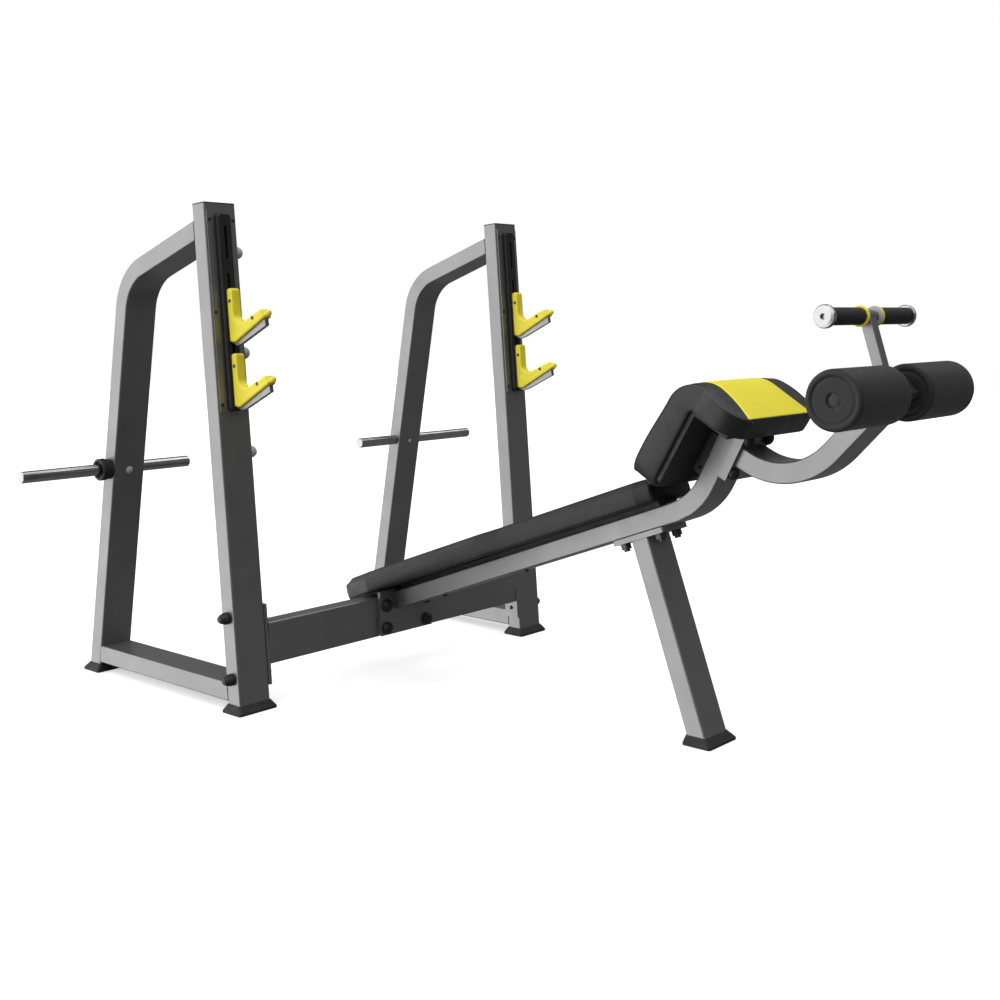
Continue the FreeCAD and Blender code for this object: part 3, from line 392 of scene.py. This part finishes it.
def dress_cad_nodes():
    """Gives every CAD node the material of its slot."""
    slots = {part["node"]: part["material_slot"] for part in frame["record"]["subparts"]}
    for name, node in NODES.items():
        node.data.materials.clear()
        node.data.materials.append(MATERIALS[slots[name]])


# ---- upholstery ------------------------------------------------------------------------------
def pad_section(half, side, border, crown):
    """Half of a pad's cross-section, from the middle of its bottom to the middle of its top."""
    seam = side - PAD_SEAM_DROP
    points = [(0.0, 0.0), (half * 0.5, 0.0)]
    points += [(half + y, h) for y, h in PAD_FOOT]
    for k in (0.2, 0.4, 0.6, 0.8):
        points.append((half + PAD_BULGE * sin(pi * k), PAD_FOOT[-1][1] + (seam - PAD_BAND_LESS) * k))
    points += [(half + y, seam + h) for y, h in PAD_SEAM]
    edge = half - border
    inner, rise = PAD_SEAM[-1]
    for k in (0.3, 0.6, 0.85):
        climb = crown * PAD_BORDER_RISE * sin(pi / 2 * k)
        points.append((half + inner - (border + inner) * k, seam + rise + climb))
    for k in (1.0, 0.85, 0.6, 0.3, 0.0):
        points.append((edge * k, seam + PAD_TOP_LIFT + crown * (1.0 - 0.1 * k * k)))
    return points


def pad_ring(origin, normal, half, side, border, crown):
    """A whole cross-section as points in space."""
    section = pad_section(half, side, border, crown)
    right = [origin + normal * h + Vector((0, y, 0)) for y, h in section]
    left = [origin + normal * h + Vector((0, -y, 0)) for y, h in section[1:-1]]
    return right + left[::-1]


def half_width(plan, run):
    """Half width at a distance along a pad, between the corners of its plan."""
    for (a, wa), (b, wb) in zip(plan, plan[1:]):
        if run <= b:
            return wa + (wb - wa) * (run - a) / (b - a)
    return plan[-1][1]


def end_inset(run, length):
    """How much the section shrinks close to a pad's ends, to round their edges."""
    near = min(run, length - run)
    if near >= PAD_END_R:
        return 0.0
    return PAD_END_R - sqrt(max(PAD_END_R ** 2 - (PAD_END_R - near) ** 2, 0.0))


def pad_stations(length, corners):
    """Distances along a pad: close together at its ends and corners."""
    runs = set(PAD_END_RUNS)
    runs |= {length - run for run in runs}
    for corner in corners:
        runs |= {corner - PAD_CORNER_RUN, corner, corner + PAD_CORNER_RUN}
    runs |= set(spread(PAD_END_RUNS[-1], length - PAD_END_RUNS[-1], int(length / PAD_STEP)))
    return sorted(run for run in runs if 0.0 <= run <= length)


def make_back_pad():
    """Cover of the back pad, tapered at both ends."""
    along = Vector((cos(BENCH_SLOPE), 0, sin(BENCH_SLOPE)))
    up = Vector((-sin(BENCH_SLOPE), 0, cos(BENCH_SLOPE)))
    low, high = span("back_pad", along)
    bottom = span("back_pad", up)[0]
    top = span("back_pad", up)[1] - bottom
    length = high - low
    plan = [(run if run >= 0 else length + run, half) for run, half in BACK_PAD_PLAN]
    rings = []
    for run in pad_stations(length, [corner for corner, half in plan]):
        inset = end_inset(run, length)
        half = half_width(plan, run) - inset
        ease = smoothstep(0.0, BACK_PAD_RAMP, min(run, length - run))
        crown = (top - BACK_PAD_SIDE - BACK_PAD_CROWN) * ease + BACK_PAD_CROWN
        origin = along * (low + run) + up * bottom
        rings.append(pad_ring(origin, up, half, BACK_PAD_SIDE - inset, BACK_PAD_BORDER, crown))
    pad = make_mesh("back_pad_cover", *loft(rings), "frame", "pad_cover", MATERIALS["pad_cover"])
    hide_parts("back_pad")


class KneePath:
    """The line under the knee pad: up the low leg, round the hump and down the front leg."""

    def __init__(self):
        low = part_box("knee_pad")[0]
        self.start = Vector((low.x + KNEE_CAD_THICK * sin(KNEE_LOW_SLOPE), 0, low.z))
        turn = KNEE_LOW_SLOPE - KNEE_FRONT_SLOPE
        reach = KNEE_BEND_R * sin(turn / 2) / cos(turn / 2)
        self.low_run = KNEE_LOW_LEG - reach
        self.bend_run = KNEE_BEND_R * turn
        self.front_run = KNEE_FRONT_LEG - reach
        self.length = self.low_run + self.bend_run + self.front_run
        self.crest = self.low_run + self.bend_run * KNEE_CREST_AT
        self.turn = turn

    def at(self, run):
        """Point and outward direction at a distance along the line."""
        bent = min(max(run - self.low_run, 0.0), self.bend_run)
        slope = KNEE_LOW_SLOPE - self.turn * bent / self.bend_run
        heading = Vector((cos(KNEE_LOW_SLOPE), 0, sin(KNEE_LOW_SLOPE)))
        outward = Vector((-sin(KNEE_LOW_SLOPE), 0, cos(KNEE_LOW_SLOPE)))
        point = self.start + heading * min(run, self.low_run)
        normal = Vector((-sin(slope), 0, cos(slope)))
        point += (normal - outward) * KNEE_BEND_R
        last = Vector((cos(KNEE_FRONT_SLOPE), 0, sin(KNEE_FRONT_SLOPE)))
        point += last * max(run - self.low_run - self.bend_run, 0.0)
        return point, normal


def corner_cut(end, run):
    """How much narrower the knee pad is at a distance from one of its ends: a quarter ellipse."""
    along, across = KNEE_CORNER[end]
    if run >= along:
        return 0.0
    return across * (1 - sqrt(1 - (1 - run / along) ** 2))


def corner_stations(end, steps=16):
    """Distances from an end of the knee pad, evenly round its corner."""
    along = KNEE_CORNER[end][0]
    return [along * (1 - cos(pi / 2 * k / steps)) for k in range(steps + 1)]


def knee_stations(path):
    """Distances along the knee pad's line: close together at its ends and its bend."""
    bend = spread(path.low_run - KNEE_BEND_MARGIN, path.low_run + path.bend_run + KNEE_BEND_MARGIN,
                  KNEE_BEND_STEPS)
    runs = set(corner_stations("low"))
    runs |= {path.length - run for run in corner_stations("front")}
    runs |= set(KNEE_END_RUNS) | {path.length - run for run in KNEE_END_RUNS}
    runs |= set(spread(KNEE_CORNER["low"][0], path.length - KNEE_CORNER["front"][0], KNEE_STEPS))
    outside = sorted(run for run in runs if not bend[0] < run < bend[-1])
    apart = [outside[0]]
    for run in outside[1:]:
        if run - apart[-1] > KNEE_LEAST_STEP:
            apart.append(run)
    return sorted(apart + bend)


def knee_shape(path, run):
    """Half width, side height and crown of the knee pad at a distance along its line."""
    inset = end_inset(run, path.length)
    half = KNEE_HALF - corner_cut("low", run) - corner_cut("front", path.length - run) - inset
    widest = path.length - KNEE_WIDEST
    half -= KNEE_TAPER * (1 - smoothstep(path.crest - KNEE_TAPER_START, widest, run))
    before, after = KNEE_SIDE_EASE
    up = smoothstep(path.low_run - before, path.crest + after, run)
    forward = smoothstep(path.crest, path.length, run)
    side = KNEE_SIDE["low"] + (KNEE_SIDE["crest"] - KNEE_SIDE["low"]) * up
    side += (KNEE_SIDE["front"] - KNEE_SIDE["crest"]) * forward - inset
    near_end = min(run, path.length - run)
    full = smoothstep(0.0, KNEE_CROWN_RAMP, near_end)
    return half, side, KNEE_END_CROWN + (KNEE_CROWN - KNEE_END_CROWN) * full


def make_knee_cover(path):
    """Black cover of the two-part knee pad."""
    rings = []
    for run in knee_stations(path):
        origin, normal = path.at(run)
        half, side, crown = knee_shape(path, run)
        rings.append(pad_ring(origin, normal, half, side, KNEE_BORDER, crown))
    pad = make_mesh("knee_pad_cover", *loft(rings), "frame", "pad_cover", MATERIALS["pad_cover"])
    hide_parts("knee_pad")


def make_knee_panel(path):
    """Yellow panel on the knee pad's top, from behind the hump to the front end."""
    runs = [run for run in knee_stations(path)
            if path.low_run - PANEL_START < run < path.length - PANEL_FRONT_GAP]
    rings = []
    for run in runs:
        origin, normal = path.at(run)
        half, side, crown = knee_shape(path, run)
        section = pad_section(half, side, KNEE_BORDER, crown)
        top = [(y, h) for y, h in section if h > side - PANEL_TOP_BAND][::-1]
        lift = PANEL_LIFT * min(1.0, min(run - runs[0], runs[-1] - run) / PANEL_EDGE)
        forward = max(0.0, (run - path.crest) / (path.length - path.crest))
        wide = PANEL_HALF["crest"] + (PANEL_HALF["front"] - PANEL_HALF["crest"]) * forward ** 2
        wide = min(wide, half - PANEL_MARGIN)
        row = []
        for y in spread(-wide, wide, PANEL_STEPS):
            edge = min(1.0, (wide - abs(y)) / PANEL_EDGE)
            height = height_at(top, abs(y)) + lift * edge - PANEL_SINK
            row.append(origin + normal * height + Vector((0, y, 0)))
        rings.append(row + [p - normal * PANEL_THICK for p in row[::-1]])
    panel = make_mesh("knee_pad_panel", *loft(rings), "frame", "yellow_cover",
                      MATERIALS["yellow_cover"])


def make_knee_welts(path):
    """A welt along the top edge of each of the knee pad's sides."""
    inside, below = WELT_PLACE
    for side, sign in (("left", 1), ("right", -1)):
        line = []
        for run in knee_stations(path):
            origin, normal = path.at(run)
            half, height, crown = knee_shape(path, run)
            line.append(origin + normal * (height - below) + Vector((0, sign * (half - inside), 0)))
        make_bead(side + "_knee_pad_welt", line, lambda k: WELT_R, "pad_welt")


def make_knee_pad():
    """Cover, yellow panel and welts of the knee pad, all along one line."""
    path = KneePath()
    make_knee_cover(path)
    make_knee_panel(path)
    make_knee_welts(path)


def height_at(section, y):
    """Height of the top of a cross-section at a distance from the middle."""
    for (a, ha), (b, hb) in zip(section, section[1:]):
        if y <= b:
            return ha + (hb - ha) * (y - a) / max(b - a, 1e-9)
    return section[-1][1]


# ---- foam rollers ----------------------------------------------------------------------------
def turned_piece(name, middle, profile, body, slot, material, steps=96):
    """A piece turned about a line along Y; profile is (radius, y) from one end to the other."""
    rings = []
    for radius, y in profile:
        ring = []
        for k in range(steps):
            angle = 2 * pi * k / steps
            ring.append(Vector((middle.x + radius * cos(angle), y, middle.z + radius * sin(angle))))
        rings.append(ring)
    return make_mesh(name, *loft(rings, closed_ends=False), body, slot, material)


def roller_end(radius, steps=14):
    """(radius, depth below the end) from the bore outwards: lip, dished face, groove and rolled rim."""
    middle = radius - ROLLER_RIM
    inner = middle - ROLLER_RIM * sin(ROLLER_RIM_LEAN)
    points = [(ROLLER_BORE, ROLLER_INNER)]
    points += [(ROLLER_BORE + r, ROLLER_DISH + depth) for r, depth in ROLLER_LIP]
    for k in (0.35, 0.7):
        points.append((ROLLER_BORE + (inner - ROLLER_BORE) * k,
                       ROLLER_DISH + ROLLER_DISH_WAVE * sin(pi * k)))
    points += [(inner + r, ROLLER_DISH + depth) for r, depth in ROLLER_GROOVE]
    for angle in spread(-ROLLER_RIM_LEAN, pi / 2, steps):
        points.append((middle + ROLLER_RIM * sin(angle), ROLLER_RIM * (1 - cos(angle))))
    return points


def make_rollers():
    """Foam rollers with dished ends, each on its own turning body."""
    for side in ("left", "right"):
        node = side + "_foam_roller"
        low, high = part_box(node)
        radius = (high.x - low.x) / 2
        end = roller_end(radius)
        profile = [(r, low.y + depth) for r, depth in end]
        profile += [(radius, y) for y in spread(low.y + ROLLER_INNER, high.y - ROLLER_INNER, 12)]
        profile += [(r, high.y - depth) for r, depth in end[::-1]]
        profile.append(profile[0])
        foam = turned_piece(side + "_roller_foam", (low + high) / 2, profile, side + "_roller",
                            "roller_foam", MATERIALS["roller_foam"])
        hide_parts(node)


# ---- hook liners and welds ---------------------------------------------------------------------
def close_seams(mesh):
    """Merges the doubled points along a mesh's sharp edges, so that it is one closed skin."""
    bm = bmesh.new()
    bm.from_mesh(mesh)
    bmesh.ops.remove_doubles(bm, verts=bm.verts, dist=SEAM_MERGE)
    bmesh.ops.recalc_face_normals(bm, faces=bm.faces)
    bm.to_mesh(mesh)
    bm.free()


def make_hook_liners():
    """Moulded liners: the plain L with its shoulders and edges rounded off."""
    for side in ("left", "right"):
        for level in ("upper", "lower"):
            hook = side + "_" + level + "_hook"
            node = hook + "_liner"
            liner = bpy.data.objects.new(hook + "_moulded_liner", NODES[node].data.copy())
            bpy.context.scene.collection.objects.link(liner)
            close_seams(liner.data)
            apply_modifier(liner, "REMESH", mode="VOXEL", voxel_size=LINER_VOXEL)
            apply_modifier(liner, "SMOOTH", factor=0.5, iterations=LINER_SMOOTHING)
            liner.data.materials.clear()
            liner.data.materials.append(MATERIALS["yellow_plastic"])
            liner.data.shade_smooth()
            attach(liner, hook)
            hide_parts(node)


def foot_outline(node):
    """Corners of the outline that a tube's lower end stands on."""
    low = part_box(node)[0].z
    foot = [v.co for v in NODES[node].data.vertices if v.co.z < low + FOOT_REACH]
    xs = [p.x for p in foot]
    ys = [p.y for p in foot]
    return [Vector((x, y, low)) for x, y in ((min(xs), min(ys)), (max(xs), min(ys)),
                                             (max(xs), max(ys)), (min(xs), max(ys)))]


def weld_radius(k):
    """Radius of a weld bead at its point k."""
    return WELD_R + WELD_RIPPLE * abs(sin(k * WELD_RIPPLE_TURN))


def make_welds():
    """Fillet welds with stacked ripples round the feet of the posts and the rear tubes."""
    for node in ("left_rack_post", "right_rack_post", "left_rear_tube", "right_rear_tube"):
        corners = foot_outline(node)
        line = []
        for a, b in zip(corners, corners[1:] + corners[:1]):
            count = int((b - a).length / WELD_STEP)
            line += [a.lerp(b, k / count) for k in range(count)]
        make_bead(node + "_weld", line, weld_radius, "frame_paint", closed=True,
                  slot="frame_paint", steps=8)


# ---- stage, light and camera ------------------------------------------------------------------
FLOOR_GLOW = 0.55
FLOOR_HEIGHT = -0.001
GROUND_HEIGHT = -0.004
STAGE_HALF = 14.0
AMBIENT = 0.20
SUNS = {                            # direction it shines in, width in degrees, strength
    "key": ((0.63, 0.72, -0.10), 100.0, 4.5),
    "top": ((-0.40, 0.30, -0.85), 80.0, 1.9),
    "rim": ((-0.10, -0.50, -0.86), 40.0, 0.85),
}
LENS = 48.04                        # mm
SENSOR = 36.0                       # mm
SHIFT_Y = -0.054
EYE = (2.3043, -2.7289, 1.0482)
HEADING = (-0.6510, 0.7524, -0.1014)


def stage_plane(name, height, light, dark):
    """A wide level plane with a plain material; gives the plane and its shader."""
    outline = [(x * STAGE_HALF, y * STAGE_HALF, 0) for x, y in ((-1, -1), (1, -1), (1, 1), (-1, 1))]
    mesh = bpy.data.meshes.new(name)
    mesh.from_pydata(outline, [], [(0, 1, 2, 3)])
    plane = bpy.data.objects.new(name, mesh)
    plane.location.z = height
    bpy.context.scene.collection.objects.link(plane)
    pale = Shader(name, IOR=1.2, Specular_IOR_Level=0.0, Roughness=0.9)
    pale.colour(pale.blend_colour(pale.noise(0.6), dark, light))
    mesh.materials.append(pale.material)
    return plane, pale


def make_stage():
    """Pale floor that only the camera sees, over a darker one that gives the weak bounce."""
    floor, pale = stage_plane("studio_floor", FLOOR_HEIGHT, (0.62, 0.62, 0.62), (0.60, 0.60, 0.60))
    pale.surface.inputs["Emission Color"].default_value = (1, 1, 1, 1)
    pale.surface.inputs["Emission Strength"].default_value = FLOOR_GLOW
    floor.visible_diffuse = False
    floor.visible_glossy = False
    floor.visible_shadow = False
    ground = stage_plane("studio_ground", GROUND_HEIGHT, (0.16, 0.16, 0.16), (0.15, 0.15, 0.15))[0]
    ground.visible_camera = False
    ground.visible_glossy = False
    ground.visible_shadow = False


def make_world():
    """White backdrop whose light on the object is weaker than it looks."""
    world = bpy.data.worlds.new("studio")
    world.use_nodes = True
    tree = world.node_tree
    glow = tree.nodes["Background"]
    seen = tree.nodes.new("ShaderNodeLightPath").outputs["Is Camera Ray"]
    strength = tree.nodes.new("ShaderNodeMapRange")
    strength.inputs["To Min"].default_value = AMBIENT
    strength.inputs["To Max"].default_value = 1.0
    tree.links.new(seen, strength.inputs["Value"])
    tree.links.new(strength.outputs["Result"], glow.inputs["Strength"])
    glow.inputs["Color"].default_value = (1, 1, 1, 1)
    bpy.context.scene.world = world


def soft_sun(name, towards, width, strength):
    """A wide, distant light that shines in a direction."""
    light = bpy.data.lights.new(name, "SUN")
    light.angle = radians(width)
    light.energy = strength
    lamp = bpy.data.objects.new(name, light)
    lamp.rotation_euler = Vector(towards).to_track_quat("-Z", "Y").to_euler()
    bpy.context.scene.collection.objects.link(lamp)


def make_lights():
    for name, (towards, width, strength) in SUNS.items():
        soft_sun(name, towards, width, strength)


def make_camera():
    """The photograph's view of the object."""
    camera = bpy.data.cameras.new("camera")
    camera.lens = LENS
    camera.sensor_width = SENSOR
    camera.shift_y = SHIFT_Y
    eye = bpy.data.objects.new("camera", camera)
    eye.location = EYE
    eye.rotation_euler = Vector(HEADING).to_track_quat("-Z", "Y").to_euler()
    bpy.context.scene.collection.objects.link(eye)
    bpy.context.scene.camera = eye


dress_cad_nodes()
make_back_pad()
make_knee_pad()
make_rollers()
make_hook_liners()
make_welds()
make_stage()
make_world()
make_lights()
make_camera()
bpy.context.scene.view_settings.view_transform = "Standard"


def corners(box):
    return [[float(value) for value in corner] for corner in box]
